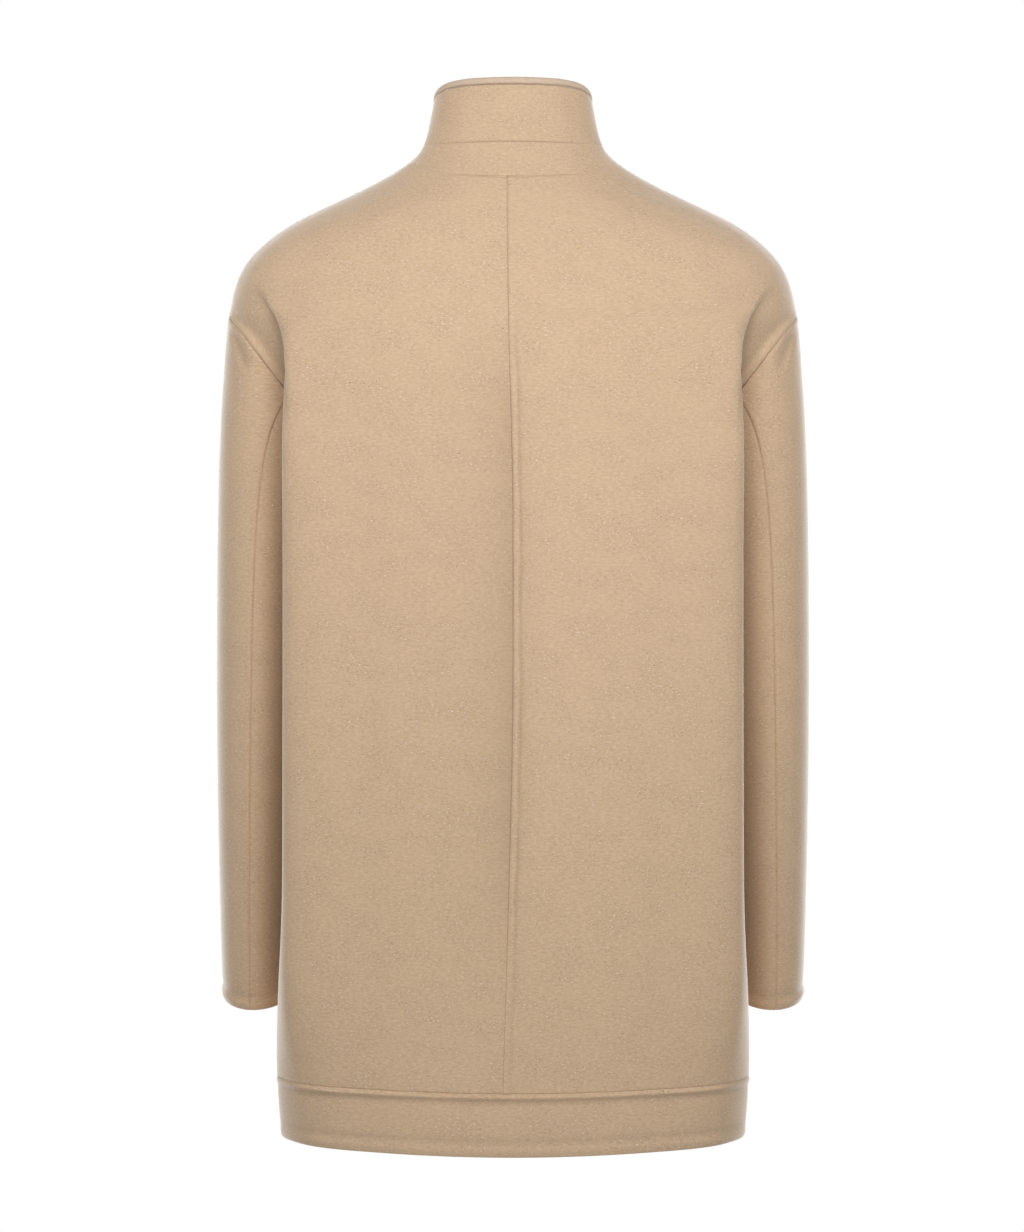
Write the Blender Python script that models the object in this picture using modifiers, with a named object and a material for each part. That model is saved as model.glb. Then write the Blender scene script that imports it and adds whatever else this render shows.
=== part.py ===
"""A short double-faced wool coat with a funnel collar, hollow and filled out as it is worn.

Metres, +Z up. The front faces -Y and the wearer's left is +X. The origin is inside the neck, level with
the points where the shoulder seams meet the collar.

The body and the collar lie on one form: a net of control points with a row for each level, from the hem
to the collar's top, and a column for each station, from the centre line to the side. A cut panel is a
window of that form. A sleeve is a tube that starts at the armhole, where the panels end.
"""

import bpy
import numpy as np

# Cloth
CLOTH = 0.0025  # thickness of the double-faced wool
SEAM_GAP = 0.0004  # between two pieces that are sewn together
SLEEVE_GAP = 0.0010  # between the pieces of a sleeve, whose sharp turn brings the inner edges closer
LAP = 0.025  # how far each front passes the centre front
LAP_EASE = 0.030  # length over which the under front sinks below the upper one
LAP_DEPTH = CLOTH + 0.0008  # how deep it sinks

# Armhole: a slanted ring round the arm, from the underarm to the top of the dropped shoulder
UNDERARM = np.array([0.152, -0.0135, -0.232])
ARM_TOP = np.array([0.2337, -0.0135, -0.128])
ARM_DEPTH = 0.067  # half the ring's size from back to front
ARM_POINT = 1.5  # 2 for an even ring, less for one that comes to a point at the underarm

# The neckline at the centre back and the centre front, below the shoulder points
NECK_DROP_BACK = 0.0213
NECK_DROP_FRONT = 0.060
SHOULDER_FORWARD = -0.012  # where the shoulder and side seams lie
SHOULDER_ROUND = 3.0  # exponent of the oval section at the shoulders
NECK_ROUND = 2.1  # exponent of the oval section at the neckline and the collar
BACK_FLATNESS = 3.0  # the higher, the further a slanted section stays level from the centre
FRONT_FLATNESS = 1.4
STATION_ANGLES = np.radians([0, 22, 42, 57, 74, 90])  # the stations on an oval section


def table(columns, *rows):
    """The named columns of a table of numbers."""
    return dict(zip(columns.split(), np.array(rows).T))


# Body below the underarm, a row for each level: height at the side, extra drop at the centre, depth at the
# centre, where the cloth turns round the arm, and how far it rounds out from there to the side seam.
BACK_TORSO = table(
    "side_z  side_x  drop    y       fold_x  fold_y  bulge",
    (-0.795, 0.1850, 0.0052, 0.1315, 0.1680, 0.086, 0.0115),
    (-0.7455, 0.1855, 0.0045, 0.1315, 0.1730, 0.087, 0.0125),
    (-0.696, 0.1760, 0.000, 0.1310, 0.1815, 0.090, 0.0115),
    (-0.600, 0.1680, 0.000, 0.1300, 0.1830, 0.091, 0.006),
    (-0.450, 0.1570, 0.000, 0.1285, 0.1835, 0.092, 0.003),
    (-0.310, 0.1480, 0.000, 0.1270, 0.1835, 0.092, -.002),
    (-0.232, 0.1520, 0.000, 0.1245, 0.1835, 0.092, -.012),
)
FRONT_TORSO = table(
    "side_z  side_x  drop    y        fold_x  fold_y   bulge",
    (-0.795, 0.1850, 0.0040, -0.1330, 0.1600, -0.090, 0.009),
    (-0.7455, 0.1855, 0.0065, -0.1335, 0.1580, -0.092, 0.008),
    (-0.696, 0.1760, 0.000, -0.1325, 0.1530, -0.098, 0.006),
    (-0.600, 0.1680, 0.000, -0.1310, 0.1500, -0.102, 0.004),
    (-0.450, 0.1570, 0.000, -0.1290, 0.1470, -0.106, 0.003),
    (-0.310, 0.1480, 0.000, -0.1290, 0.1460, -0.107, 0.001),
    (-0.232, 0.1520, 0.000, -0.1270, 0.1460, -0.107, -.002),
)

# Body beside the armhole: angle round the armhole from the underarm, depth at the centre, the fold behind
# or before the arm, the crease where the cloth turns on to the arm, and a point on the arm.
BACK_ARM = table(
    "angle  y       fold_x fold_y  crease_x crease_y  arm_x  arm_y",
    (45, 0.1231, 0.1835, 0.0920, 0.1710, 0.0660, 0.1655, 0.0480),
    (90, 0.1195, 0.1820, 0.0920, 0.1810, 0.0670, 0.1890, 0.0580),
    (135, 0.1153, 0.1735, 0.0945, 0.1920, 0.0740, 0.2090, 0.0560),
    (180, 0.1133, 0.1680, 0.0945, 0.1965, 0.0725, 0.2215, 0.0405),
)
FRONT_ARM = table(
    "angle  y        fold_x fold_y   crease_x crease_y  arm_x  arm_y",
    (45, -0.1254, 0.1470, -0.1070, 0.1530, -0.0900, 0.1600, -0.0740),
    (90, -0.1222, 0.1490, -0.1070, 0.1680, -0.0980, 0.1840, -0.0900),
    (135, -0.1182, 0.1530, -0.1040, 0.1840, -0.0920, 0.2080, -0.0780),
    (180, -0.1162, 0.1630, -0.1000, 0.1950, -0.0810, 0.2225, -0.0560),
)

# Shoulders, a row for each level of the shoulder seam, down to the neckline: its height, how far out it
# is, and the depth of the back and the front at the centre of that level.
SHOULDER = table(
    "side_z  side_x  back_y  front_y",
    (-0.0951, 0.2247, 0.1067, -0.1104),
    (-0.0754, 0.2110, 0.1022, -0.1070),
    (-0.0558, 0.1865, 0.0971, -0.1037),
    (-0.0361, 0.1480, 0.0914, -0.1006),
    (-0.0164, 0.1080, 0.0853, -0.0978),
    (0.0000, 0.0830, 0.0800, -0.0957),
)

# Collar, a row for each ring above the neckline: height at the side, the back and the front, how far out
# the side is, the depth of the back and the front, and how far the ring is slanted at the side, from 0 where
# it is level there to 1 where it falls evenly from the back to the front.
COLLAR = table(
    "side_z  back_z  front_z  side_x  back_y  front_y  slant",
    (0.0055, -0.0075, -0.0440, 0.0775, 0.0735, -0.0890, 0.0),
    (0.0105, 0.0072, -0.0260, 0.0735, 0.0690, -0.0850, 0.0),
    (0.0285, 0.0305, -0.0060, 0.0690, 0.0637, -0.0810, 0.5),
    (0.0455, 0.0547, 0.0120, 0.0652, 0.0597, -0.0783, 1.0),
    (0.0513, 0.0605, 0.0178, 0.0640, 0.0584, -0.0775, 1.0),
)

# Centre back seam: how far it lies to the wearer's left of the centre line at each height
SEAM_DRIFT = table(
    "z       x",
    (-0.750, 0.0080),
    (-0.600, 0.0035),
    (-0.440, 0.0000),
    (-0.280, 0.0000),
    (-0.124, 0.0038),
    (-0.020, 0.0046),
)

# Sleeve, a row for each level: height, the outer and the inner side, the middle from back to front, and
# half the size from back to front.
SLEEVE = table(
    "z       outer   inner   middle_y  half_y",
    (-0.180, 0.2390, 0.1560, -0.0135, 0.0670),
    (-0.262, 0.2422, 0.1630, -0.0160, 0.0680),
    (-0.361, 0.2439, 0.1700, -0.0210, 0.0675),
    (-0.450, 0.2445, 0.1740, -0.0275, 0.0660),
    (-0.558, 0.2439, 0.1790, -0.0380, 0.0630),
    (-0.656, 0.2423, 0.1835, -0.0500, 0.0600),
    (-0.705, 0.2408, 0.1850, -0.0560, 0.0590),
)
CUFF_Z = -0.689
CUFF_TILT = 0.008  # the cuff is this much lower behind and higher in front
UNDERARM_EASE = 0.0004  # the sleeve is this much smaller than the armhole at the underarm
SLEEVE_START = 0.16  # share of the sleeve over which it leaves the armhole's own outline
BACK_SEAM = (60, 96)  # angles of the sleeve's seams, at the armhole and at the cuff
FRONT_SEAM = (315, 310)
SEAM_BEND = 0.07  # share of the sleeve over which the seams swing round

# Levels where panels meet, counted in rows of the tables above from the hem up
HEM, BAND_SEAM, ARM_LOW, ARM_HIGH, NECKLINE, COLLAR_SEAM, COLLAR_EDGE = 0, 1, 6, 10, 16, 18, 20

# Mesh rows in each gap between two levels, and the stations of the mesh columns
BAND_ROWS = (3,)
PANEL_ROWS = (2, 2, 2, 2, 2, 3, 3, 3, 3, 2, 1, 2, 2, 2, 1)
STAND_ROWS = (2, 2)
COLLAR_ROWS = (2, 2)
BINDING_ROWS = (1,)
PANEL_STATIONS = np.array([0, 0.5, 1, 1.4, 1.7, 1.9, 2.1, 2.4, 2.7, 3, 3.4, 3.7, 4, 4.5, 4.93, 5])
SLEEVE_ROWS = 16
ARM_STEP = 15  # degrees between two of the armhole's mesh points
SEAM_STEP = 2  # degrees from a sleeve seam to the next mesh column

WOOL_COLOUR = (0.545, 0.400, 0.270, 1.0)
BINDING_COLOUR = (0.600, 0.470, 0.345, 1.0)


# Curves

def smoothstep(value):
    """0 below 0, 1 above 1, and a soft ramp between them."""
    value = np.clip(value, 0.0, 1.0)
    return value * value * (3.0 - 2.0 * value)


def through(points, knots, where):
    """The smooth curve that passes the points at the knots, read at the places asked for."""
    slopes = np.gradient(points, knots, axis=0)
    first = np.clip(np.searchsorted(knots, where, "right") - 1, 0, len(knots) - 2)
    column = (-1,) + (1,) * (points.ndim - 1)
    span = (knots[first + 1] - knots[first]).reshape(column)
    t = (where - knots[first]).reshape(column) / span
    start, end = points[first], points[first + 1]
    leave, arrive = slopes[first] * span, slopes[first + 1] * span
    return ((1 + 2 * t) * (1 - t) ** 2 * start + t * (1 - t) ** 2 * leave
            + t * t * (3 - 2 * t) * end + t * t * (t - 1) * arrive)


def steps(counts, first=0):
    """Places along a run of gaps, with that many even steps in each gap."""
    inner = [np.arange(count) / count + gap for gap, count in enumerate(counts)]
    return first + np.append(np.concatenate(inner), len(counts))


# Form of the body and the collar

def armhole(degrees, side):
    """Points of the armhole, by their angle from the underarm, on the back (side 1) or the front (side -1)."""
    angle = np.radians(np.clip(degrees, 0, 180))[..., None]
    rise = np.sin(angle / 2) ** ARM_POINT
    return UNDERARM + (ARM_TOP - UNDERARM) * rise + np.array([0, side * ARM_DEPTH, 0]) * np.sin(angle)


def torso_level(row, side):
    """The stations of a level below the underarm."""
    level = {name: column[row] for name, column in (BACK_TORSO if side > 0 else FRONT_TORSO).items()}
    side_z, centre_z = level["side_z"], level["side_z"] - level["drop"]
    fold = np.array([level["fold_x"], level["fold_y"], side_z - 0.15 * level["drop"]])
    seam = np.array([level["side_x"], UNDERARM[1], side_z])
    outwards = np.array([level["bulge"], 0, 0])
    blade = np.array([0.6 * fold[0], level["y"] - 0.16 * (level["y"] - fold[1]), (centre_z + side_z) / 2])
    return [np.array([0, level["y"], centre_z]), blade, fold,
            fold + 0.42 * (seam - fold) + outwards, fold + 0.72 * (seam - fold) + 0.6 * outwards, seam]


def arm_level(row, side):
    """The stations of a level that ends at the armhole."""
    level = {name: column[row] for name, column in (BACK_ARM if side > 0 else FRONT_ARM).items()}
    edge = armhole(level["angle"], side)
    fold = np.array([level["fold_x"], level["fold_y"], edge[2]])
    blade = np.array([0.6 * fold[0], level["y"] - 0.16 * (level["y"] - fold[1]), edge[2]])
    return [np.array([0, level["y"], edge[2]]), blade, fold,
            np.array([level["crease_x"], level["crease_y"], edge[2]]),
            np.array([level["arm_x"], level["arm_y"], edge[2]]), edge]


def oval_level(side_x, side_z, centre_y, centre_z, roundness, slant=0.0):
    """The stations of a level that is a quarter of an oval, from the centre line to the side.

    It leaves the side at its own height, or where it is slanted, on a slope.
    """
    across = np.sin(STATION_ANGLES) ** (2 / roundness)
    along = np.clip(np.cos(STATION_ANGLES), 0, 1) ** (2 / roundness)
    slope = 1 - (1 - along) ** (BACK_FLATNESS if centre_y > 0 else FRONT_FLATNESS)
    level = smoothstep(along) * (1 - slant) + slope * slant
    return list(np.column_stack([
        side_x * across,
        SHOULDER_FORWARD + (centre_y - SHOULDER_FORWARD) * along,
        side_z + (centre_z - side_z) * level,
    ]))


def shoulder_levels(side):
    """The levels of the shoulder seam. The centre lies lower than the side, most of all at the neckline."""
    name, neck_drop = ("back_y", NECK_DROP_BACK) if side > 0 else ("front_y", NECK_DROP_FRONT)
    drop = neck_drop * (1 - SHOULDER["side_z"] / ARM_TOP[2]) ** 1.5
    roundness = np.linspace(SHOULDER_ROUND, NECK_ROUND, len(drop))
    return [oval_level(*row) for row in zip(
        SHOULDER["side_x"], SHOULDER["side_z"], SHOULDER[name], SHOULDER["side_z"] - drop, roundness)]


def collar_levels(side):
    """The rings of the collar."""
    name = "back" if side > 0 else "front"
    return [oval_level(*row, NECK_ROUND, slant) for *row, slant in zip(
        COLLAR["side_x"], COLLAR["side_z"], COLLAR[name + "_y"], COLLAR[name + "_z"], COLLAR["slant"])]


def control_net(side):
    """All levels of one half, the back (side 1) or the front (side -1), without the points past its ends."""
    levels = [torso_level(row, side) for row in range(len(BACK_TORSO["drop"]))]
    levels += [arm_level(row, side) for row in range(len(BACK_ARM["angle"]))]
    levels += shoulder_levels(side) + collar_levels(side)
    return np.array(levels)


def past_edge(net, other_half, side):
    """The point past each level's edge: on the other half, or where the armhole is, on the arm."""
    beyond = other_half[:, -2].copy()
    low, middle, high = ARM_LOW + 1, ARM_LOW + 2, ARM_LOW + 3
    beyond[low] = 2 * net[low, -1] - net[low, -2]
    for row, angle in ((middle, 120), (high, 165)):
        beyond[row] = armhole(angle, side)
        beyond[row, 2] = net[row, -1, 2]
    return beyond


MIRROR = np.array([-1, 1, 1])
BACK_NET, FRONT_NET = control_net(1), control_net(-1)
STATION_KNOTS = np.array([-0.36, 0, 0.36, 0.64, 0.77, 0.88, 1.0, 1.12])  # with a point past each end


def up_line(points, levels):
    """The smooth line through one station's points of all levels, read at levels counted from the first."""
    lengths = np.linalg.norm(np.diff(points, axis=0), axis=1)
    knots = np.append(0, np.cumsum(lengths))
    return through(points, knots, np.interp(levels, np.arange(len(knots)), knots))


def edge_line(net, side, levels):
    """The form's edge: the side seam to the underarm, the armhole round the arm, then the shoulder seam."""
    seam = up_line(net[:ARM_LOW + 1, -1], levels)
    shoulder = up_line(net[ARM_HIGH:, -1], levels - ARM_HIGH)
    ring = armhole((levels - ARM_LOW) * 45, side)
    return np.where((levels < ARM_LOW)[:, None], seam, np.where((levels > ARM_HIGH)[:, None], shoulder, ring))


def form(side, levels, stations):
    """Points of the coat's outer form: a row for each level, a column for each station.

    Levels count rows of the tables. Stations run from 0 at the centre to 5 at the edge, and below 0 past
    the centre. Stations may also be a list for each level.
    """
    net, other = (BACK_NET, FRONT_NET) if side > 0 else (FRONT_NET, BACK_NET)
    levels = np.asarray(levels, float)
    lines = [up_line(net[:, station], levels) for station in range(5)]
    lines += [edge_line(net, side, levels), up_line(past_edge(net, other, side), levels)]
    rows = np.stack([lines[1] * MIRROR] + lines, axis=1)
    stations = np.broadcast_to(stations, (len(levels), np.shape(stations)[-1]))
    places = np.interp(np.abs(stations), np.arange(6), STATION_KNOTS[1:-1])
    grid = np.array([through(row, STATION_KNOTS, place) for row, place in zip(rows, places)])
    grid[..., 0] *= np.where(stations < 0, -1, 1)
    return grid


def back_stations(levels, way):
    """For each level, the stations of the mesh columns of a back half, from the centre back seam to the edge.

    The seam lies off the centre line, on the half's own side (way 1) or past it (way -1).
    """
    fine = np.linspace(0, 1, 41)
    across = form(1, levels, fine)
    height = np.clip(across[:, 0, 2], SEAM_DRIFT["z"][0], SEAM_DRIFT["z"][-1])
    drift = through(SEAM_DRIFT["x"], SEAM_DRIFT["z"], height)
    seam = np.array([np.interp(place, row, fine) for place, row in zip(drift, across[..., 0])])[:, None]
    return PANEL_STATIONS + way * seam * (1 - smoothstep(PANEL_STATIONS / 2))


def front_stations(levels):
    """For each level, the stations of the front's mesh columns, from the edge to the end of the lap.

    The columns between the edge and the place where the under front starts to sink are spaced as on the
    back. Those on the lap lie at the same places on both fronts.
    """
    fine = np.linspace(0, 4, 161)
    across = form(-1, levels, fine)[..., 0]
    lap, ease = ([np.interp(place, row, fine) for row in across] for place in (LAP, LAP + LAP_EASE))
    lap, ease = np.array(lap)[:, None], np.array(ease)[:, None]
    outer = PANEL_STATIONS[PANEL_STATIONS >= 1][::-1]
    outer = ease + (outer - 1) * (5 - ease) / 4
    return np.concatenate([outer, (ease + lap) / 2, lap, 0 * lap, -lap], axis=1)


# Grids of single pieces. A grid runs up in its rows and leftwards round the back in its columns.

def normals(grid):
    """Unit normals of a grid, outwards where its rows run up and its columns to the wearer's left."""
    up, along = np.gradient(grid, axis=0), np.gradient(grid, axis=1)
    normal = np.cross(up, along)
    return normal / np.linalg.norm(normal, axis=-1, keepdims=True)


def seam_edges(grid, top=True, bottom=True, first=True, last=True, gap=SEAM_GAP):
    """The grid with the edges that are sewn drawn back by half of the seam's gap."""
    grid = grid.copy()

    def draw_back(edge, inner):
        way = inner - edge
        edge += way / np.linalg.norm(way, axis=-1, keepdims=True) * gap / 2

    if bottom:
        draw_back(grid[0], grid[1].copy())
    if top:
        draw_back(grid[-1], grid[-2].copy())
    if first:
        draw_back(grid[:, 0], grid[:, 1].copy())
    if last:
        draw_back(grid[:, -1], grid[:, -2].copy())
    return grid


def other_side(grid):
    """The mirror image of a grid, still running up and to the wearer's left."""
    return grid[:, ::-1] * MIRROR


def back_half(levels):
    """The left half of the back, from the centre to the edge."""
    return form(1, levels, PANEL_STATIONS)


def front_half(levels, under):
    """The left half of the front, from the edge past the centre. The under front sinks below the other."""
    grid = form(-1, levels, front_stations(levels))
    if under:
        sink = LAP_DEPTH * smoothstep((LAP + LAP_EASE - grid[..., 0]) / LAP_EASE)
        grid = grid - normals(grid) * sink[..., None]
    return grid


def ring(levels):
    """A strip round the whole neck, from the upper lap on the right front to the under lap on the left."""
    right = other_side(front_half(levels, under=False))
    back = np.concatenate([other_side(back_half(levels))[:, :-1], back_half(levels)], axis=1)
    left = front_half(levels, under=True)
    return np.concatenate([right[:, :-1], back, left[:, 1:]], axis=1)


def sleeve(first_seam, last_seam):
    """A panel of the left sleeve between two of its seams, from the cuff to the armhole.

    Its top follows the armhole's own mesh points, which lie ARM_STEP degrees apart.
    """
    nodes = np.arange(first_seam[0], last_seam[0] + 1, ARM_STEP)
    levels = ARM_LOW + np.abs((nodes + 180) % 360 - 180) / 45
    sides = np.where(np.sin(np.radians(nodes)) >= 0, 1, -1)
    points = np.array([form(side, [level], [5])[0, 0] for side, level in zip(sides, levels)])
    angles = np.sort(np.append(nodes, [nodes[0] + SEAM_STEP, nodes[-1] - SEAM_STEP]))
    top = np.column_stack([np.interp(angles, nodes, axis) for axis in points.T])
    turn = np.radians(angles)
    ease = UNDERARM_EASE * np.cos(turn / 2) ** 2
    top += ease[:, None] * np.column_stack([np.cos(turn), -np.sin(turn), 0 * turn])

    share = np.linspace(1, 0, SLEEVE_ROWS + 1)[:, None]
    bend = 1 - np.exp(-share / SEAM_BEND)
    start, end = (seam[0] + (seam[1] - seam[0]) * bend for seam in (first_seam, last_seam))
    around = np.radians(start + (end - start) * (angles - angles[0]) / (angles[-1] - angles[0]))
    height = top[:, 2] * (1 - share) + (CUFF_Z - CUFF_TILT * np.sin(around)) * share
    size = {name: np.interp(-height, -SLEEVE["z"], column) for name, column in SLEEVE.items()}
    middle, half = (size["outer"] + size["inner"]) / 2, (size["outer"] - size["inner"]) / 2
    tube = np.stack([middle - half * np.cos(around), size["middle_y"] + size["half_y"] * np.sin(around),
                     height], axis=-1)
    stay = np.clip(1 - share / SLEEVE_START, 0, 1)[..., None] ** 2
    tube[..., :2] += (top - tube[-1])[None, :, :2] * stay
    return tube


# Objects

def cloth(name, colour, roughness):
    """A matte cloth material."""
    material = bpy.data.materials.new(name)
    material.use_nodes = True
    shader = material.node_tree.nodes["Principled BSDF"]
    shader.inputs["Base Color"].default_value = colour
    shader.inputs["Roughness"].default_value = roughness
    shader.inputs["Metallic"].default_value = 0.0
    return material


def add_panel(name, grid, material, collection, parent):
    """A wall of cloth whose outer side is the grid."""
    rows, columns = grid.shape[:2]
    index = np.arange(rows * columns).reshape(rows, columns)
    faces = np.stack([index[:-1, :-1], index[1:, :-1], index[1:, 1:], index[:-1, 1:]], axis=-1)
    mesh = bpy.data.meshes.new(name)
    mesh.from_pydata(grid.reshape(-1, 3).tolist(), [], faces.reshape(-1, 4).tolist())
    mesh.materials.append(material)
    mesh.shade_smooth()
    panel = bpy.data.objects.new(name, mesh)
    wall = panel.modifiers.new("Cloth", "SOLIDIFY")
    wall.thickness = CLOTH
    wall.offset = -1
    panel.parent = parent
    collection.objects.link(panel)
    return panel


def clear_scene():
    for item in list(bpy.data.objects):
        bpy.data.objects.remove(item)


def main():
    clear_scene()
    coat = bpy.data.collections.new("short_coat")
    bpy.context.scene.collection.children.link(coat)
    neck = bpy.data.objects.new("neck_point", None)
    coat.objects.link(neck)
    wool = cloth("camel_wool", WOOL_COLOUR, 0.95)
    binding = cloth("collar_binding", BINDING_COLOUR, 0.6)

    def add(name, grid, material=wool):
        add_panel(name, grid, material, coat, neck)

    body = steps(PANEL_ROWS, BAND_SEAM)
    add("back_left", seam_edges(form(1, body, back_stations(body, 1))))
    add("back_right", other_side(seam_edges(form(1, body, back_stations(body, -1)))))
    add("front_left", seam_edges(front_half(body, under=True), last=False))
    add("front_right", other_side(seam_edges(front_half(body, under=False), last=False)))

    front_seam = (FRONT_SEAM[0] - 360, FRONT_SEAM[1] - 360)
    under_sleeve = seam_edges(sleeve(front_seam, BACK_SEAM), bottom=False, gap=SLEEVE_GAP)
    upper_sleeve = seam_edges(sleeve(BACK_SEAM, FRONT_SEAM), bottom=False, gap=SLEEVE_GAP)
    add("sleeve_left_upper", upper_sleeve)
    add("sleeve_left_under", under_sleeve)
    add("sleeve_right_upper", other_side(upper_sleeve))
    add("sleeve_right_under", other_side(under_sleeve))

    add("collar_stand", seam_edges(ring(steps(STAND_ROWS, NECKLINE)), first=False, last=False))
    add("collar", seam_edges(ring(steps(COLLAR_ROWS, COLLAR_SEAM)), first=False, last=False))
    add("collar_binding", seam_edges(ring(steps(BINDING_ROWS, COLLAR_EDGE)), top=False, first=False, last=False),
        binding)

    band = steps(BAND_ROWS, HEM)
    back_band = np.concatenate([other_side(back_half(band))[:, :-1], back_half(band)], axis=1)
    add("hem_band_back", seam_edges(back_band, bottom=False))
    add("hem_band_front_left", seam_edges(front_half(band, under=True), bottom=False, last=False))
    add("hem_band_front_right",
        other_side(seam_edges(front_half(band, under=False), bottom=False, last=False)))


main()
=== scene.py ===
"""A short camel wool coat with a funnel collar, hollow and filled out as it is worn.

Metres, +Z up. The front faces -Y and the wearer's left is +X. The origin is inside the neck, level with
the points where the shoulder seams meet the collar.
"""

import bpy
import numpy as np
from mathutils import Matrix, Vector


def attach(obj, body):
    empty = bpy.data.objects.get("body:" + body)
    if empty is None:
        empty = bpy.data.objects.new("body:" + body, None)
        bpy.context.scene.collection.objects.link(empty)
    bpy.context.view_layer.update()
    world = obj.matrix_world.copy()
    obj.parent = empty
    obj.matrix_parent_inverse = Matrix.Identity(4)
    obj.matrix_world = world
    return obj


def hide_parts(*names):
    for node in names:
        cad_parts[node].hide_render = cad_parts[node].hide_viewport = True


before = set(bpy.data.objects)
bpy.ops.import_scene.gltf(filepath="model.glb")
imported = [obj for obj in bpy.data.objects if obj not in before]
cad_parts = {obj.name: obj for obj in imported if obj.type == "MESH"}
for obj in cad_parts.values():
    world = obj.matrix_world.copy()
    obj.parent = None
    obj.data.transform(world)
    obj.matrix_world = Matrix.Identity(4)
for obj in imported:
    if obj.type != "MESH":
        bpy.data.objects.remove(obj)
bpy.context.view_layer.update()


# Back
# Two halves of camel double-faced wool, cut straight and sewn together down the centre back. The seam's
# allowances are pressed to the wearer's right, where they stand up as a narrow ridge. Each half ends at
# the neckline, the shoulder seam, the armhole, the side seam and the seam of the hem band.

CLOTH = 0.0024  # thickness of the double-faced wool
UNDERARM = np.array([0.152, -0.0135, -0.232])
ARM_TOP = np.array([0.2337, -0.0135, -0.128])
ARM_DEPTH = 0.067  # half the armhole's size from back to front
ARM_POINT = 1.5  # 2 for an even ring, less for one that comes to a point at the underarm
NECK_DROP_BACK = 0.0213  # the neckline at the centre, below the shoulder points
NECK_DROP_FRONT = 0.060
SHOULDER_FORWARD = -0.012  # where the shoulder and side seams lie
SHOULDER_ROUND = 3.0  # exponent of the oval section at the shoulders
NECK_ROUND = 2.1  # exponent of the oval section at the neckline and the collar
BACK_FLATNESS = 3.0  # the higher, the further a slanted section stays level from the centre
FRONT_FLATNESS = 1.4
STATION_ANGLES = np.radians([0, 22, 42, 57, 74, 90])  # the stations on an oval section
STATION_KNOTS = np.array([-0.36, 0, 0.36, 0.64, 0.77, 0.88, 1.0, 1.12])  # with a point past each end
HEM, BAND_SEAM, ARM_LOW, ARM_HIGH = 0, 1, 6, 10  # levels of the form, counted up from the hem
NECKLINE, COLLAR_SEAM, COLLAR_EDGE, COLLAR_TOP = 16, 18, 20, 21
LEVEL_ROWS = (15, 19, 32, 50, 47, 26, 14, 14, 13, 13, 10, 8, 9, 14, 15, 10, 6, 6, 9, 9, 4)  # up to the next
ARM_STEP = 45  # degrees round the armhole from one level to the next
PAST_ARM = (120, 165)  # angles of the points on the arm just past the armhole's upper levels
NECK_DROP_POWER = 1.5  # how late the neckline's drop sets in on the way up from the arm's top
DROP_AT_FOLD = 0.15  # share of the centre's drop that is left at the fold by the arm
BLADE_OUT, BLADE_FALL = 0.6, 0.16  # the shoulder blade's place on the way to the fold, out and in depth
TURN_NEAR, TURN_FAR, FAR_BULGE = 0.42, 0.72, 0.6  # stations past the fold, and the second one's bulge
EVEN_SHARE, EVEN_STATIONS, EVEN_FADE = 0.7, 4.0, 0.9  # how much lines are evened, and how far out
MIRROR = np.array([-1, 1, 1])
FINE, COARSE, FINE_REACH = 0.0005, 0.0034, 0.015  # mesh spacing at an edge, elsewhere, and how far it grows
FOLD_NEAR, FOLD_REACH = 0.005, 0.025  # a fold counts as this near to an edge, over this far on each side


def table(columns, *rows):
    """The named columns of a table of numbers."""
    return dict(zip(columns.split(), np.array(rows).T))


# Body below the underarm: height at the side, extra drop at the centre, depth at the centre, where the
# cloth turns round the arm, and how far it rounds out from there to the side seam.
BACK_TORSO = table(
    "side_z  side_x  drop    y       fold_x  fold_y  bulge",
    (-0.795, 0.1850, 0.0052, 0.1315, 0.1680, 0.086, 0.0115),
    (-0.7455, 0.1855, 0.0045, 0.1315, 0.1730, 0.087, 0.0125),
    (-0.696, 0.1760, 0.000, 0.1310, 0.1815, 0.090, 0.0115),
    (-0.600, 0.1680, 0.000, 0.1300, 0.1830, 0.091, 0.006),
    (-0.450, 0.1570, 0.000, 0.1285, 0.1835, 0.092, 0.003),
    (-0.310, 0.1480, 0.000, 0.1270, 0.1835, 0.092, -.002),
    (-0.232, 0.1520, 0.000, 0.1245, 0.1835, 0.092, -.012),
)
FRONT_TORSO = table(
    "side_z  side_x  drop    y        fold_x  fold_y   bulge",
    (-0.795, 0.1850, 0.0040, -0.1330, 0.1600, -0.090, 0.009),
    (-0.7455, 0.1855, 0.0065, -0.1335, 0.1580, -0.092, 0.008),
    (-0.696, 0.1760, 0.000, -0.1325, 0.1530, -0.098, 0.006),
    (-0.600, 0.1680, 0.000, -0.1310, 0.1500, -0.102, 0.004),
    (-0.450, 0.1570, 0.000, -0.1290, 0.1470, -0.106, 0.003),
    (-0.310, 0.1480, 0.000, -0.1290, 0.1460, -0.107, 0.001),
    (-0.232, 0.1520, 0.000, -0.1270, 0.1460, -0.107, -.002),
)
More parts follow.
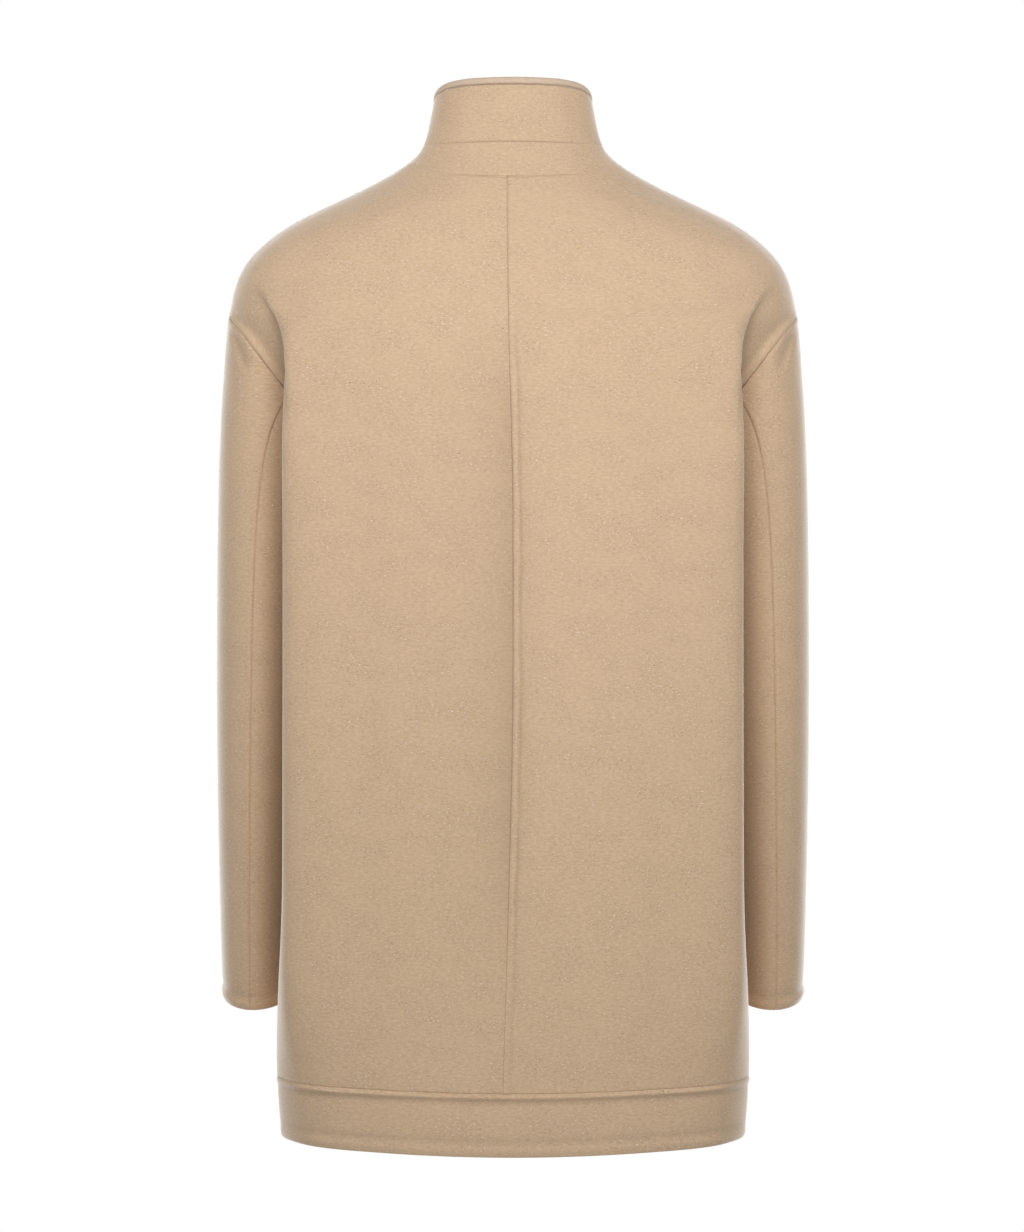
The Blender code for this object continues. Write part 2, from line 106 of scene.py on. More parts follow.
# Body beside the armhole: angle round the armhole from the underarm, depth at the centre, the fold behind
# or before the arm, the crease where the cloth turns on to the arm, and a point on the arm.
BACK_ARM = table(
    "angle  y       fold_x fold_y  crease_x crease_y  arm_x  arm_y",
    (45, 0.1231, 0.1835, 0.0920, 0.1710, 0.0660, 0.1655, 0.0480),
    (90, 0.1195, 0.1820, 0.0920, 0.1810, 0.0670, 0.1890, 0.0580),
    (135, 0.1153, 0.1735, 0.0945, 0.1920, 0.0740, 0.2090, 0.0560),
    (180, 0.1133, 0.1680, 0.0945, 0.1965, 0.0725, 0.2215, 0.0405),
)
FRONT_ARM = table(
    "angle  y        fold_x fold_y   crease_x crease_y  arm_x  arm_y",
    (45, -0.1254, 0.1470, -0.1070, 0.1530, -0.0900, 0.1600, -0.0740),
    (90, -0.1222, 0.1490, -0.1070, 0.1680, -0.0980, 0.1840, -0.0900),
    (135, -0.1182, 0.1530, -0.1040, 0.1840, -0.0920, 0.2080, -0.0780),
    (180, -0.1162, 0.1630, -0.1000, 0.1950, -0.0810, 0.2225, -0.0560),
)
# Shoulder seam: height, how far out, and the depth of the back and the front at the centre of that level
SHOULDER = table(
    "side_z  side_x  back_y  front_y",
    (-0.0951, 0.2247, 0.1067, -0.1104),
    (-0.0754, 0.2110, 0.1022, -0.1070),
    (-0.0558, 0.1865, 0.0971, -0.1037),
    (-0.0361, 0.1480, 0.0914, -0.1006),
    (-0.0164, 0.1080, 0.0853, -0.0978),
    (0.0000, 0.0830, 0.0800, -0.0957),
)
# Collar rings: height at the side, the back and the front, how far out the side is, depth of the back and
# the front, and how far the ring is slanted at the side
COLLAR = table(
    "side_z  back_z  front_z  side_x  back_y  front_y  slant",
    (0.0055, -0.0075, -0.0440, 0.0775, 0.0735, -0.0890, 0.0),
    (0.0105, 0.0072, -0.0260, 0.0735, 0.0690, -0.0850, 0.0),
    (0.0285, 0.0305, -0.0060, 0.0690, 0.0637, -0.0810, 0.5),
    (0.0455, 0.0547, 0.0120, 0.0652, 0.0597, -0.0783, 1.0),
    (0.0513, 0.0605, 0.0178, 0.0640, 0.0584, -0.0775, 1.0),
)


def smoothstep(value):
    """0 below 0, 1 above 1, and 3 t squared - 2 t cubed between them."""
    value = np.clip(value, 0.0, 1.0)
    return value * value * (3.0 - 2.0 * value)


def bump(value):
    """A hill of height 1 at 0 that fades as exp(-t squared)."""
    return np.exp(-np.square(value))


def through(points, knots, where):
    """A cubic through the points at the knots, with each slope taken from the points on both sides."""
    slopes = np.gradient(points, knots, axis=0)
    first = np.clip(np.searchsorted(knots, where, "right") - 1, 0, len(knots) - 2)
    column = (-1,) + (1,) * (points.ndim - 1)
    span = (knots[first + 1] - knots[first]).reshape(column)
    t = (where - knots[first]).reshape(column) / span
    start, end = points[first], points[first + 1]
    leave, arrive = slopes[first] * span, slopes[first + 1] * span
    return ((1 + 2 * t) * (1 - t) ** 2 * start + t * (1 - t) ** 2 * leave
            + t * t * (3 - 2 * t) * end + t * t * (t - 1) * arrive)


def armhole(degrees, side):
    """The armhole by its angle from the underarm: a rise to the arm's top by a power of sin(angle / 2), and
    a swing of sin(angle) to the back (side 1) or the front (side -1)."""
    angle = np.radians(np.clip(degrees, 0, 180))[..., None]
    rise = np.sin(angle / 2) ** ARM_POINT
    return UNDERARM + (ARM_TOP - UNDERARM) * rise + np.array([0, side * ARM_DEPTH, 0]) * np.sin(angle)


def shoulder_blade(centre_y, fold, height):
    """The station between the centre and the fold, a share of the way out and of the fall in depth."""
    return np.array([BLADE_OUT * fold[0], centre_y - BLADE_FALL * (centre_y - fold[1]), height])


def torso_level(row, side):
    """The six stations of a level below the underarm, from the centre to the side seam."""
    level = {name: column[row] for name, column in (BACK_TORSO if side > 0 else FRONT_TORSO).items()}
    side_z, centre_z = level["side_z"], level["side_z"] - level["drop"]
    fold = np.array([level["fold_x"], level["fold_y"], side_z - DROP_AT_FOLD * level["drop"]])
    seam = np.array([level["side_x"], UNDERARM[1], side_z])
    outwards = np.array([level["bulge"], 0, 0])
    blade = shoulder_blade(level["y"], fold, (centre_z + side_z) / 2)
    return [np.array([0, level["y"], centre_z]), blade, fold, fold + TURN_NEAR * (seam - fold) + outwards,
            fold + TURN_FAR * (seam - fold) + FAR_BULGE * outwards, seam]


def arm_level(row, side):
    """The six stations of a level that ends at the armhole."""
    level = {name: column[row] for name, column in (BACK_ARM if side > 0 else FRONT_ARM).items()}
    edge = armhole(level["angle"], side)
    fold = np.array([level["fold_x"], level["fold_y"], edge[2]])
    return [np.array([0, level["y"], edge[2]]), shoulder_blade(level["y"], fold, edge[2]), fold,
            np.array([level["crease_x"], level["crease_y"], edge[2]]),
            np.array([level["arm_x"], level["arm_y"], edge[2]]), edge]


def oval_level(side_x, side_z, centre_y, centre_z, roundness, slant=0.0):
    """The six stations of a quarter of a superellipse; its height runs from the side's to the centre's."""
    across = np.sin(STATION_ANGLES) ** (2 / roundness)
    along = np.clip(np.cos(STATION_ANGLES), 0, 1) ** (2 / roundness)
    slope = 1 - (1 - along) ** (BACK_FLATNESS if centre_y > 0 else FRONT_FLATNESS)
    level = smoothstep(along) * (1 - slant) + slope * slant
    return list(np.column_stack([
        side_x * across,
        SHOULDER_FORWARD + (centre_y - SHOULDER_FORWARD) * along,
        side_z + (centre_z - side_z) * level,
    ]))


def control_net(side):
    """All levels of the back (side 1) or the front (side -1), from the hem to the collar's top."""
    name, neck_drop = ("back", NECK_DROP_BACK) if side > 0 else ("front", NECK_DROP_FRONT)
    drop = neck_drop * (1 - SHOULDER["side_z"] / ARM_TOP[2]) ** NECK_DROP_POWER
    roundness = np.linspace(SHOULDER_ROUND, NECK_ROUND, len(drop))
    levels = [torso_level(row, side) for row in range(len(BACK_TORSO["drop"]))]
    levels += [arm_level(row, side) for row in range(len(BACK_ARM["angle"]))]
    levels += [oval_level(*row) for row in zip(
        SHOULDER["side_x"], SHOULDER["side_z"], SHOULDER[name + "_y"], SHOULDER["side_z"] - drop,
        roundness)]
    levels += [oval_level(*row, NECK_ROUND, slant) for *row, slant in zip(
        COLLAR["side_x"], COLLAR["side_z"], COLLAR[name + "_y"], COLLAR[name + "_z"], COLLAR["slant"])]
    return np.array(levels)


NETS = {1: control_net(1), -1: control_net(-1)}


def past_edge(side):
    """The point past each level's edge: on the other half, or where the armhole is, on the arm."""
    net = NETS[side]
    beyond = NETS[-side][:, -2].copy()
    low = ARM_LOW + 1
    beyond[low] = 2 * net[low, -1] - net[low, -2]
    for row, angle in enumerate(PAST_ARM, low + 1):
        beyond[row] = armhole(angle, side)
        beyond[row, 2] = net[row, -1, 2]
    return beyond


def up_line(points, levels):
    """The cubic through one station's points of all levels, knotted by the lengths between them."""
    lengths = np.linalg.norm(np.diff(points, axis=0), axis=1)
    knots = np.append(0, np.cumsum(lengths))
    return through(points, knots, np.interp(levels, np.arange(len(knots)), knots))


def form(side, levels, stations):
    """The coat's outer form, a row for each level and a column for each station: cubics up through each
    station's points, then a cubic across each row. Stations run from 0 at the centre to 5 at the edge."""
    net = NETS[side]
    seam = up_line(net[:ARM_LOW + 1, -1], levels)
    shoulder = up_line(net[ARM_HIGH:, -1], levels - ARM_HIGH)
    arm = armhole((levels - ARM_LOW) * ARM_STEP, side)
    upper = np.where((levels > ARM_HIGH)[:, None], shoulder, arm)
    edge = np.where((levels < ARM_LOW)[:, None], seam, upper)
    lines = [up_line(net[:, station], levels) for station in range(5)]
    lines += [edge, up_line(past_edge(side), levels)]
    rows = np.stack([lines[1] * MIRROR] + lines, axis=1)
    stations = np.broadcast_to(stations, (len(levels), np.shape(stations)[-1]))
    places = np.interp(np.abs(stations), np.arange(6), STATION_KNOTS[1:-1])
    grid = np.array([through(row, STATION_KNOTS, place) for row, place in zip(rows, places)])
    grid[..., 0] *= np.where(stations < 0, -1, 1)
    return grid


def settled(grid, hold, passes=60):
    """The grid with its lines up and down evened out: each pass moves a point towards the straight line
    between the points above and below it, by the share that hold gives for its column."""
    grid = grid.copy()
    for _ in range(passes):
        below = np.linalg.norm(grid[1:-1] - grid[:-2], axis=-1, keepdims=True)
        above = np.linalg.norm(grid[2:] - grid[1:-1], axis=-1, keepdims=True)
        chord = (grid[:-2] * above + grid[2:] * below) / (above + below)
        grid[1:-1] += hold * (chord - grid[1:-1])
    return grid


STRETCHES = [np.arange(rows) / rows + level for level, rows in enumerate(LEVEL_ROWS)]
ROW_LEVELS = np.append(np.concatenate(STRETCHES), COLLAR_TOP)


def half(side, stations):
    """One half of the back or the front over its whole height, a row for each of ROW_LEVELS."""
    hold = EVEN_SHARE * (1 - smoothstep((np.abs(stations) - EVEN_STATIONS) / EVEN_FADE))
    hold = np.broadcast_to(hold, (len(ROW_LEVELS), np.shape(stations)[-1]))
    return settled(form(side, ROW_LEVELS, stations), hold[1:-1, :, None])


def lengths(grid, axis):
    """The running length over the cloth along an axis, from 0 at the grid's first row or column."""
    steps = np.linalg.norm(np.diff(grid, axis=axis), axis=-1)
    start = np.zeros_like(np.take(steps, [0], axis))
    return np.concatenate([start, np.cumsum(steps, axis)], axis)


def from_ends(grid):
    """The distance over the cloth from a row's nearer end."""
    across = lengths(grid, 1)
    return np.minimum(across, across[:, -1:] - across)


def spaced(length, fine_first=True, fine_last=True, coarse=COARSE, fold=None):
    """Places from 0 to a length: FINE apart at the ends that ask for it, close at a fold, else coarse."""
    place = np.linspace(0, length, 4001)
    far = np.full_like(place, length)
    near = np.minimum(place if fine_first else far, length - place if fine_last else far)
    if fold is not None:
        near = np.minimum(near, FOLD_NEAR + np.clip(np.abs(place - fold) - FOLD_REACH, 0, None))
    density = 1 / (FINE + (coarse - FINE) * smoothstep(near / FINE_REACH))
    total = np.append(0, np.cumsum((density[1:] + density[:-1]) / 2 * np.diff(place)))
    return np.interp(np.linspace(0, total[-1], int(np.ceil(total[-1])) + 1), total, place)


def between(grid, first, last, fine_first=True, fine_last=True, coarse=COARSE):
    """The rows of a half from one level to another, spaced by the widest step between its columns, with a
    row at each corner of the armhole."""
    start, end = (int(np.searchsorted(ROW_LEVELS, level)) for level in (first, last))
    part = grid[start:end + 1]
    run = np.append(0, np.cumsum(np.linalg.norm(np.diff(part, axis=0), axis=-1).max(1)))
    rows = np.interp(spaced(run[-1], fine_first, fine_last, coarse), run, np.arange(start, end + 1))
    for corner in np.searchsorted(ROW_LEVELS, (ARM_LOW, ARM_HIGH)):
        if start < corner < end:
            rows[np.abs(rows - corner).argmin()] = corner
    return through(grid, np.arange(len(grid), dtype=float), rows)


def stations_for(side, places_of):
    """Stations whose distances over the cloth from the centre, at the chest, are those of a spacing."""
    dense = np.linspace(0, 5, 401)
    run = lengths(form(side, np.array([4.0]), dense), 1)[0]
    return np.interp(places_of(run[-1]), run, dense)


def normals(grid):
    """Unit normals, outwards where the rows run up and the columns to the wearer's left."""
    normal = np.cross(np.gradient(grid, axis=0), np.gradient(grid, axis=1))
    return normal / np.linalg.norm(normal, axis=-1, keepdims=True)


def away_from(grid, line):
    """The distance of each point of a grid from a line: the least over the line's points, 1 mm apart."""
    run = lengths(line, 0)
    dense = np.column_stack([np.interp(np.arange(0, run[-1], 0.001), run, axis) for axis in line.T])
    return np.array([np.sqrt(((row[:, None] - dense) ** 2).sum(-1).min(1)) for row in grid])


def other_side(grid):
    """The mirror image of a grid, still running up and to the wearer's left."""
    return grid[:, ::-1] * (MIRROR if grid.ndim == 3 else 1)


def folds(grid, creases):
    """Soft troughs and ridges: for each crease, a hill across the line from (x1, z1) to (x2, z2) that fades
    out at both ends and has a half width of its own on each side, seen from the front or the back."""
    relief = np.zeros(grid.shape[:2])
    for x1, z1, x2, z2, inside, outside, height in zip(*creases.values()):
        run = np.hypot(x2 - x1, z2 - z1)
        along = ((grid[..., 0] - x1) * (x2 - x1) + (grid[..., 2] - z1) * (z2 - z1)) / run ** 2
        across = ((grid[..., 0] - x1) * (z2 - z1) - (grid[..., 2] - z1) * (x2 - x1)) / run
        fade = smoothstep((along + 0.15) / 0.4) * smoothstep((1.15 - along) / 0.4)
        relief += height * fade * bump(across / np.where(across > 0, inside, outside))
    return relief


SEAM_RIDGE_AT, SEAM_RIDGE_WIDTH = 0.0035, 0.0022  # the swelling beside a seam


def seam_roll(away, depth=0.0009, width=0.0010, ridge=0.0003):
    """The cloth beside a seam: it dips into it as a hill upside down, and swells a little beside it."""
    return ridge * bump((away - SEAM_RIDGE_AT) / SEAM_RIDGE_WIDTH) - depth * bump(away / width)


UNDERARM_CALM, UNDERARM_FADE = 0.045, 0.030  # how far from the underarm rolls are left out and grow again


def side_seams(grid, line):
    """The roll beside a panel's side edge; it fades out towards the underarm, where four edges meet."""
    calm = smoothstep((np.abs(grid[..., 2] - UNDERARM[2]) - UNDERARM_CALM) / UNDERARM_FADE)
    return seam_roll(away_from(grid, line)) * calm


NECK_REACH, NECK_FADE = 0.070, 0.040  # how far from the centre a neck seam shows, and where it fades


def neck_seam(grid, away, depth=0.0005, width=0.0007):
    """The roll beside a seam round the neck, deepest at the centre and fading towards the shoulders."""
    share = smoothstep((NECK_REACH - np.abs(grid[..., 0])) / NECK_FADE)
    return seam_roll(away, depth, width, 0.0) * (0.25 + 0.75 * share)


EDGE_RIDGE, EDGE_RIDGE_AT, EDGE_RIDGE_WIDTH = 0.0010, 0.0055, 0.0032  # the ridge along a turned edge
EDGE_DIP, EDGE_DIP_PAST, EDGE_DIP_WIDTH = 0.6, 0.0065, 0.0034  # the dip past it, as a share of its height


def turned_edge(away):
    """The cloth beside an edge that is turned in and sewn: a soft ridge, then a dip along the sewing."""
    past = away - EDGE_RIDGE_AT
    dip = EDGE_DIP * EDGE_RIDGE * bump((past - EDGE_DIP_PAST) / EDGE_DIP_WIDTH)
    return EDGE_RIDGE * bump(past / EDGE_RIDGE_WIDTH) - dip


ROUND_REACH, ROUND_DEPTH = 1.3, 0.46  # the round of a free edge, in thicknesses of the cloth
INNER_GRAIN = (0.31, 0.17, 0)  # the inner face has another stretch of the fibres' pattern


def cloth_piece(name, base, relief, material, free=None, cloth=CLOTH, seam_away=None, shade=None):
    """A closed wall of cloth: its outer side is the base moved out by the relief, its inner side the base
    moved in by the thickness, and both meet in a round where the distance from a free edge runs out."""
    normal = normals(base)
    near = np.full(base.shape[:2], 1.0) if free is None else np.clip(free / (ROUND_REACH * cloth), 0, 1)
    turn = ROUND_DEPTH * cloth * (1 - np.sqrt(1 - (1 - near) ** 2))
    outer = base + (relief - turn)[..., None] * normal
    inner = base + (turn - cloth)[..., None] * normal
    rows, columns = base.shape[:2]
    count = rows * columns
    index = np.arange(count).reshape(rows, columns)
    corners = [index[:-1, :-1], index[1:, :-1], index[1:, 1:], index[:-1, 1:]]
    quads = np.stack(corners, axis=-1).reshape(-1, 4)
    rim = np.concatenate([index[0, :], index[1:, -1], index[-1, -2::-1], index[-2:0:-1, 0]])
    following = np.roll(rim, -1)
    sides = np.column_stack([rim, following, following + count, rim + count])
    faces = np.concatenate([quads, quads[:, ::-1] + count, sides])
    points = np.concatenate([outer.reshape(-1, 3), inner.reshape(-1, 3)])

    mesh = bpy.data.meshes.new(name)
    mesh.vertices.add(len(points))
    mesh.vertices.foreach_set("co", points.ravel())
    mesh.loops.add(faces.size)
    mesh.loops.foreach_set("vertex_index", faces.ravel())
    mesh.polygons.add(len(faces))
    mesh.polygons.foreach_set("loop_start", np.arange(0, faces.size, 4))
    mesh.update(calc_edges=True)
    mesh.shade_smooth()
    across, up = lengths(base * [1, 1, 0], 1), lengths(base * [0, 1, 1], 0)
    grain = np.stack([across, up, np.zeros((rows, columns))], axis=-1).reshape(-1, 3)
    grain += np.array([sum(map(ord, name)) % 17, len(name), 0.0]) * 0.71  # each piece has its own stretch
    seam = np.ones(count) if seam_away is None else seam_away.ravel()
    # painted shade: how much the colour is darkened where shade would fall, in creases, dips and seam lines
    painted_shade = np.zeros(count) if shade is None else shade.ravel()
    for label, kind, key, outside, inside in (
            ("grain", "FLOAT_VECTOR", "vector", grain, grain + INNER_GRAIN),
            ("seam", "FLOAT", "value", seam, np.ones(count)),
            ("painted_shade", "FLOAT", "value", painted_shade, np.zeros(count))):
        layer = mesh.attributes.new(label, kind, "POINT")
        layer.data.foreach_set(key, np.concatenate([outside, inside]).ravel())
    mesh.materials.append(material)
    piece = bpy.data.objects.new(name, mesh)
    bpy.context.scene.collection.objects.link(piece)
    return piece


def sewn_in(piece, base, node):
    """Attaches a piece to the root body and hides the part of the model that it stands for. The base's
    lengths across and up are worked out but not used."""
    across, up = lengths(base, 1), lengths(base, 0)
    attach(piece, "root")
    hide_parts(node)


def add_node(tree, kind, inputs=(), **settings):
    """A node with its settings; its inputs take a value, or a link from another node's output."""
    node = tree.nodes.new(kind)
    for key, value in settings.items():
        setattr(node, key, value)
    for key, value in dict(inputs).items():
        if isinstance(value, bpy.types.NodeSocket):
            tree.links.new(value, node.inputs[key])
        else:
            node.inputs[key].default_value = value
    return node


def new_group(name, inputs, outputs):
    """A shader node group with named sockets, and its input and output nodes."""
    group = bpy.data.node_groups.new(name, "ShaderNodeTree")
    for socket, kind in inputs:
        group.interface.new_socket(socket, in_out="INPUT", socket_type=kind)
    for socket, kind in outputs:
        group.interface.new_socket(socket, in_out="OUTPUT", socket_type=kind)
    return group, group.nodes.new("NodeGroupInput"), group.nodes.new("NodeGroupOutput")


# Fibres of the brushed face: their length, width, turn from straight across, and share of the pattern
FIBRES = table(
    "length  width   turn  share",
    (0.0048, 0.0016, 2.0, 0.40),
    (0.0036, 0.0015, 16.0, 0.30),
    (0.0034, 0.0015, -19.0, 0.30),
)
# Soft patches, then single pale and single dusky fibres: their length, width and turn, which part of the
# noise they take, and from where to where in it they set in
PATCH, PALE, DUSKY = (
    (0.0300, 0.0200, 10.0, 5.1, 0.36, 0.66),
    (0.0020, 0.0010, 12.0, 7.7, 0.60, 0.72),
    (0.0021, 0.0010, -9.0, 3.9, 0.60, 0.72),
)


def brushed_fibres():
    """Node group of short brushed fibres. Noises stretched along the fibres are added up by their shares,
    and the sum runs from the dark tone through the middle one to the light one. Soft patches are a little
    darker. In them lie single light and dark fibres, where a noise of their own is high. The painted shade
    input darkens the colour where shade would fall: in creases, in dips and along seams."""
    group, given, out = new_group(
        "brushed_fibres",
        [("Grain", "NodeSocketVector"), ("Dark", "NodeSocketColor"), ("Middle", "NodeSocketColor"),
         ("Light", "NodeSocketColor"), ("Fleck", "NodeSocketFloat"), ("PaintedShade", "NodeSocketFloat")],
        [("Color", "NodeSocketColor"), ("Height", "NodeSocketFloat")])

    def strands(length, width, turn, place):
        laid = add_node(group, "ShaderNodeMapping", {
            "Vector": given.outputs["Grain"], "Location": (place, place, 0),
            "Rotation": (0, 0, np.radians(turn)), "Scale": (length, width, 1)}, vector_type="TEXTURE")
        return add_node(group, "ShaderNodeTexNoise", {
            "Vector": laid.outputs[0], "Scale": 1.0, "Detail": 2.0, "Roughness": 0.5}).outputs[0]

    def ramp(value, low, high):
        return add_node(group, "ShaderNodeMapRange", {
            "Value": value, "From Min": low, "From Max": high}, interpolation_type="SMOOTHSTEP").outputs[0]

    def mix(factor, first, second):
        return add_node(group, "ShaderNodeMix", {0: factor, 6: first, 7: second},
                        data_type="RGBA").outputs[2]

    def scaled(value, factor):
        return add_node(group, "ShaderNodeMath", {0: value, 1: factor}, operation="MULTIPLY").outputs[0]

    def shown(length, width, turn, place, low, high):
        return ramp(strands(length, width, turn, place), low, high)

    total = 0.0
    for number, (length, width, turn, share) in enumerate(zip(*FIBRES.values())):
        noise = strands(length, width, turn, 1.3 * number)
        total = add_node(group, "ShaderNodeMath", {0: noise, 1: share, 2: total},
                         operation="MULTIPLY_ADD").outputs[0]
    colour = mix(ramp(total, 0.28, 0.54), given.outputs["Dark"], given.outputs["Middle"])
    colour = mix(ramp(total, 0.47, 0.74), colour, given.outputs["Light"])
    patch = shown(*PATCH)
    colour = mix(scaled(patch, 0.26), colour, given.outputs["Dark"])
    rough = scaled(add_node(group, "ShaderNodeMath", {0: patch, 1: 0.75, 2: 0.25},
                            operation="MULTIPLY_ADD").outputs[0], given.outputs["Fleck"])
    colour = mix(scaled(shown(*PALE), rough), colour, mix(0.50, given.outputs["Light"], (1, 1, 1, 1)))
    colour = mix(scaled(shown(*DUSKY), rough), colour, mix(0.42, given.outputs["Dark"], (0, 0, 0, 1)))
    # painted shade: the colour goes towards a deep brown where the painted shade attribute is high
    colour = mix(given.outputs["PaintedShade"], colour, mix(0.40, given.outputs["Dark"], (0, 0, 0, 1)))
    group.links.new(colour, out.inputs["Color"])
    group.links.new(total, out.inputs["Height"])
    return group


STITCH = 0.0034  # from one stitch to the next


def hand_stitches():
    """Node group of a line of small stitches: a wave along the seam, kept to a narrow strip beside it."""
    group, given, out = new_group(
        "hand_stitches", [("Grain", "NodeSocketVector"), ("Away", "NodeSocketFloat")],
        [("Height", "NodeSocketFloat")])
    along = add_node(group, "ShaderNodeSeparateXYZ", {0: given.outputs["Grain"]}).outputs["Y"]
    turns = add_node(group, "ShaderNodeMath", {0: along, 1: 2 * np.pi / STITCH}, operation="MULTIPLY")
    wave = add_node(group, "ShaderNodeMath", {0: turns.outputs[0]}, operation="SINE")
    strip = add_node(group, "ShaderNodeMapRange", {
        "Value": given.outputs["Away"], "From Min": 0.0004, "From Max": 0.0020,
        "To Min": 1.0, "To Max": 0.0}, interpolation_type="SMOOTHSTEP")
    height = add_node(group, "ShaderNodeMath", {0: wave.outputs[0], 1: strip.outputs[0]},
                      operation="MULTIPLY")
    group.links.new(height.outputs[0], out.inputs["Height"])
    return group


FIBRE_GROUP, STITCH_GROUP = brushed_fibres(), hand_stitches()


def cloth_material(name, dark, middle, light, fleck, roughness, sheen, nap):
    """A brushed cloth: fibre tones with painted shade for its colour, and fibres and stitches for its bump.
    """
    material = bpy.data.materials.new(name)
    material.use_nodes = True
    tree = material.node_tree
    shader = tree.nodes["Principled BSDF"]
    grain = add_node(tree, "ShaderNodeAttribute", attribute_name="grain")
    seam = add_node(tree, "ShaderNodeAttribute", attribute_name="seam")
    painted_shade = add_node(tree, "ShaderNodeAttribute", attribute_name="painted_shade")
    fibres = add_node(tree, "ShaderNodeGroup", node_tree=FIBRE_GROUP)
    stitches = add_node(tree, "ShaderNodeGroup", node_tree=STITCH_GROUP)
    tree.links.new(grain.outputs["Vector"], fibres.inputs["Grain"])
    tree.links.new(painted_shade.outputs["Fac"], fibres.inputs["PaintedShade"])
    tree.links.new(grain.outputs["Vector"], stitches.inputs["Grain"])
    tree.links.new(seam.outputs["Fac"], stitches.inputs["Away"])
    for socket, colour in (("Dark", dark), ("Middle", middle), ("Light", light)):
        fibres.inputs[socket].default_value = (*colour, 1.0)
    fibres.inputs["Fleck"].default_value = fleck
    height = add_node(tree, "ShaderNodeMath", {
        0: stitches.outputs[0], 1: 0.35, 2: fibres.outputs["Height"]}, operation="MULTIPLY_ADD")
    nap_bump = add_node(tree, "ShaderNodeBump", {
        "Strength": nap, "Distance": 0.0008, "Height": height.outputs[0]})
    tree.links.new(fibres.outputs["Color"], shader.inputs["Base Color"])
    tree.links.new(nap_bump.outputs[0], shader.inputs["Normal"])
    shader.inputs["Roughness"].default_value = roughness
    shader.inputs["Specular IOR Level"].default_value = 0.15
    shader.inputs["Sheen Weight"].default_value = sheen
    shader.inputs["Sheen Roughness"].default_value = 0.30
    shader.inputs["Sheen Tint"].default_value = (0.96, 0.96, 0.95, 1.0)
    return material


WOOL_DARK = (0.512, 0.358, 0.230)
WOOL_MIDDLE = (0.597, 0.430, 0.283)
WOOL_LIGHT = (0.682, 0.508, 0.348)
wool = cloth_material("camel_wool", WOOL_DARK, WOOL_MIDDLE, WOOL_LIGHT,
                      fleck=0.85, roughness=0.95, sheen=0.90, nap=0.12)

# The fold behind the arm: where its line lies at each height, and how deep it is there
ARM_FOLD = table(
    "z       x       depth",
    (-0.225, 0.1800, 0.00),
    (-0.198, 0.1812, 0.45),
    (-0.175, 0.1828, 0.80),
    (-0.152, 0.1848, 1.00),
    (-0.136, 0.1905, 0.90),
    (-0.121, 0.1995, 0.55),
    (-0.104, 0.2100, 0.00),
)
FOLD_SWELL, FOLD_DROP = 0.0028, 0.0016  # the back swells beside the fold and drops past it
# The centre back seam: how far it lies to the wearer's left at each height
SEAM_DRIFT = table(
    "z       x",
    (-0.750, 0.0080),
    (-0.600, 0.0035),
    (-0.440, 0.0000),
    (-0.280, 0.0000),
    (-0.124, 0.0038),
    (-0.020, 0.0046),
)
RIDGE_WIDTH, RIDGE_HEIGHT = 0.0052, 0.0008  # the allowances pressed to the right of the centre back seam
RIDGE_TOP, RIDGE_GROWTH = -0.100, 0.10  # the height where the ridge sets in, and how far down it grows
VALLEY_DEPTH, VALLEY_WIDTH = 0.0022, 0.018  # the left half dips towards the seam below the shoulder blades
VALLEY_STEEP = 0.0016  # the right half comes up from the same dip over this length
VALLEY_TOP, VALLEY_GROWTH = -0.110, 0.12  # where the dip sets in, and how far down it grows
VALLEY_END, VALLEY_FADE = 0.72, 0.20  # how far down it ends, and the length over which it fades
NECK_LINE_REACH, NECK_LINE_FADE = 0.066, 0.036  # the line of painted shade in a slight dip below the neckline, from the centre out
NECK_LINE_AT, NECK_LINE_WIDTH = 0.0012, 0.0011  # its distance from the neckline, and its half width
PUCKER = 0.0008  # how far that line wavers


def back_half(way):
    """A half of the back as a left one, whose centre seam lies off the centre line: on its own side
    (way 1), past it (way -1) or on it (way 0)."""
    fine = np.linspace(0, 1, 41)
    across = form(1, ROW_LEVELS, fine)
    height = np.clip(across[:, 0, 2], SEAM_DRIFT["z"][0], SEAM_DRIFT["z"][-1])
    drift = through(SEAM_DRIFT["x"], SEAM_DRIFT["z"], height)
    seam = np.array([np.interp(place, row, fine) for place, row in zip(drift, across[..., 0])])[:, None]
    return half(1, back_stations + way * seam * (1 - smoothstep(back_stations / 2)))


def arm_fold(grid):
    """The fold behind the arm: the back swells towards the fold's line and drops steeply past it, and the
    cloth on the arm's side comes up again slowly. The relief, and a mask of painted shade in the trough."""
    height = np.clip(grid[..., 2], ARM_FOLD["z"][0], ARM_FOLD["z"][-1])
    line, depth = (through(ARM_FOLD[name], ARM_FOLD["z"], height.ravel()).reshape(height.shape)
                   for name in ("x", "depth"))
    inside = 0.9 * (line - grid[..., 0])
    swell = FOLD_SWELL * bump((inside - 0.005) / 0.010) * smoothstep((inside + 0.0005) / 0.004)
    trough = bump(inside / np.where(inside > 0, 0.0014, 0.0055))
    return depth * (swell - FOLD_DROP * trough), depth * trough


